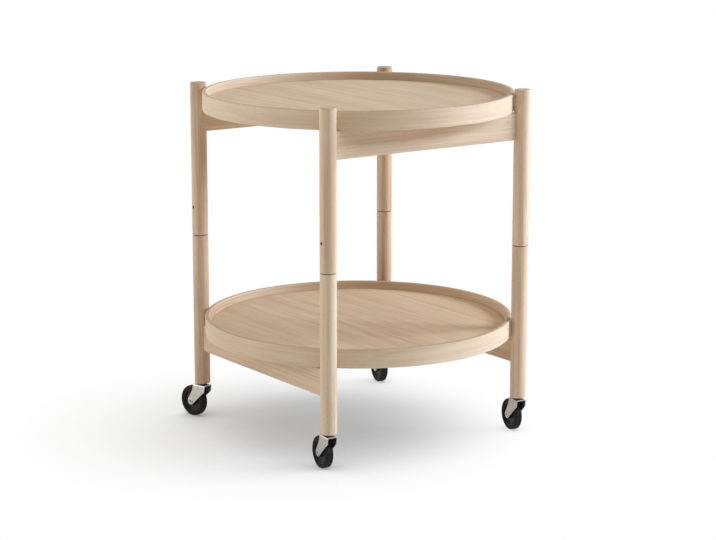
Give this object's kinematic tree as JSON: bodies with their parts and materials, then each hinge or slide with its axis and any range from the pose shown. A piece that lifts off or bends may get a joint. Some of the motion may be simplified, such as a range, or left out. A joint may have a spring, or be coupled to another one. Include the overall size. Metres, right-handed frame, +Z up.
{
  "type": "serving trolley",
  "caption": "Serving trolley with round lift-out wooden trays on crossed rails between slim jointed legs, on small swivel casters.",
  "frame": {"origin": "on the floor, under the middle of the round trays", "axes": "+Z up; +X along the upper rails; +Y along the lower rails; the front leg is at -X -Y and the back leg at +X +Y"},
  "size_m": [0.482, 0.482, 0.5426],
  "materials": {
    "beech": "soaped, open-grained, matt",
    "beech_panel": "soaped veneer, matt, straight grain along Y",
    "zinc_plated_steel": "bright zinc plate, pressed",
    "bright_steel": "turned",
    "dark_steel": "blackened",
    "black_nylon": "moulded, slightly satin",
    "tyre": "smooth black polyurethane"
  },
  "bodies": {
    "lower_frame_left": {"lower_rail_left": "beech", "lower_leg_front": "beech", "pivot_pin_front": "bright_steel", "seam_washer_front": "black_nylon", "caster_socket_front": "dark_steel", "caster_stem_front": "dark_steel", "thrust_washer_front": "dark_steel", "lower_leg_left": "beech", "pivot_pin_left": "bright_steel", "seam_washer_left": "black_nylon", "caster_socket_left": "dark_steel", "caster_stem_left": "dark_steel", "thrust_washer_left": "dark_steel"},
    "upper_frame_front": {"upper_rail_front": "beech", "upper_leg_front": "beech", "retaining_screw_front": "dark_steel", "upper_leg_right": "beech", "retaining_screw_right": "dark_steel"},
    "upper_frame_back": {"upper_rail_back": "beech", "upper_leg_left": "beech", "retaining_screw_left": "dark_steel", "upper_leg_back": "beech", "retaining_screw_back": "dark_steel"},
    "lower_frame_right": {"lower_rail_right": "beech", "lower_leg_right": "beech", "pivot_pin_right": "bright_steel", "seam_washer_right": "black_nylon", "caster_socket_right": "dark_steel", "caster_stem_right": "dark_steel", "thrust_washer_right": "dark_steel", "lower_leg_back": "beech", "pivot_pin_back": "bright_steel", "seam_washer_back": "black_nylon", "caster_socket_back": "dark_steel", "caster_stem_back": "dark_steel", "thrust_washer_back": "dark_steel"},
    "upper_tray": {"upper_tray_rim": "beech", "upper_tray_panel": "beech_panel"},
    "lower_tray": {"lower_tray_rim": "beech", "lower_tray_panel": "beech_panel"},
    "caster_front": {"caster_fork_front": "zinc_plated_steel", "caster_axle_front": "zinc_plated_steel"},
    "wheel_front": {"wheel_hub_front": "black_nylon", "wheel_tyre_front": "tyre"},
    "caster_right": {"caster_fork_right": "zinc_plated_steel", "caster_axle_right": "zinc_plated_steel"},
    "wheel_right": {"wheel_hub_right": "black_nylon", "wheel_tyre_right": "tyre"},
    "caster_back": {"caster_fork_back": "zinc_plated_steel", "caster_axle_back": "zinc_plated_steel"},
    "wheel_back": {"wheel_hub_back": "black_nylon", "wheel_tyre_back": "tyre"},
    "caster_left": {"caster_fork_left": "zinc_plated_steel", "caster_axle_left": "zinc_plated_steel"},
    "wheel_left": {"wheel_hub_left": "black_nylon", "wheel_tyre_left": "tyre"}
  },
  "joints": [
    {"name": "fold_front", "type": "hinge", "parent": "lower_frame_left", "child": "upper_frame_front", "pos_m": [-0.17989, -0.17989, 0], "axis": [0, 0, 1], "range_deg": [-0.15, 0.15]},
    {"name": "fold_left", "type": "hinge", "parent": "lower_frame_left", "child": "upper_frame_back", "pos_m": [-0.17989, 0.17989, 0], "axis": [0, 0, 1], "range_deg": [-0.15, 0.15]},
    {"name": "fold_right", "type": "hinge", "parent": "upper_frame_front", "child": "lower_frame_right", "pos_m": [0.17989, -0.17989, 0], "axis": [0, 0, 1], "range_deg": [-0.15, 0.15]},
    {"name": "upper_tray_lift", "type": "slide", "parent": "upper_frame_front", "child": "upper_tray", "axis": [0, 0, 1], "range_m": [0, 0.15]},
    {"name": "lower_tray_lift", "type": "slide", "parent": "lower_frame_left", "child": "lower_tray", "axis": [0, 0, 1], "range_m": [0, 0.27]},
    {"name": "swivel_front", "type": "hinge", "parent": "lower_frame_left", "child": "caster_front", "pos_m": [-0.17989, -0.17989, 0.05], "axis": [0, 0, 1], "continuous": true},
    {"name": "wheel_spin_front", "type": "hinge", "parent": "caster_front", "child": "wheel_front", "pos_m": [-0.17751, -0.16053, 0.02475], "axis": [0.9925, -0.1219, 0], "continuous": true},
    {"name": "swivel_right", "type": "hinge", "parent": "lower_frame_right", "child": "caster_right", "pos_m": [0.17989, -0.17989, 0.05], "axis": [0, 0, 1], "continuous": true},
    {"name": "wheel_spin_right", "type": "hinge", "parent": "caster_right", "child": "wheel_right", "pos_m": [0.18361, -0.16075, 0.02475], "axis": [0.9816, -0.1908, 0], "continuous": true},
    {"name": "swivel_back", "type": "hinge", "parent": "lower_frame_right", "child": "caster_back", "pos_m": [0.17989, 0.17989, 0.05], "axis": [0, 0, 1], "continuous": true},
    {"name": "wheel_spin_back", "type": "hinge", "parent": "caster_back", "child": "wheel_back", "pos_m": [0.18394, 0.19896, 0.02475], "axis": [0.9781, -0.2079, 0], "continuous": true},
    {"name": "swivel_left", "type": "hinge", "parent": "lower_frame_left", "child": "caster_left", "pos_m": [-0.17989, 0.17989, 0.05], "axis": [0, 0, 1], "continuous": true},
    {"name": "wheel_spin_left", "type": "hinge", "parent": "caster_left", "child": "wheel_left", "pos_m": [-0.1846, 0.19881, 0.02475], "axis": [0.9703, 0.2419, 0], "continuous": true}
  ],
  "couplings": [
    {"joint": "fold_left", "follows": "fold_front", "ratio": 1},
    {"joint": "fold_right", "follows": "fold_front", "ratio": -1}
  ]
}
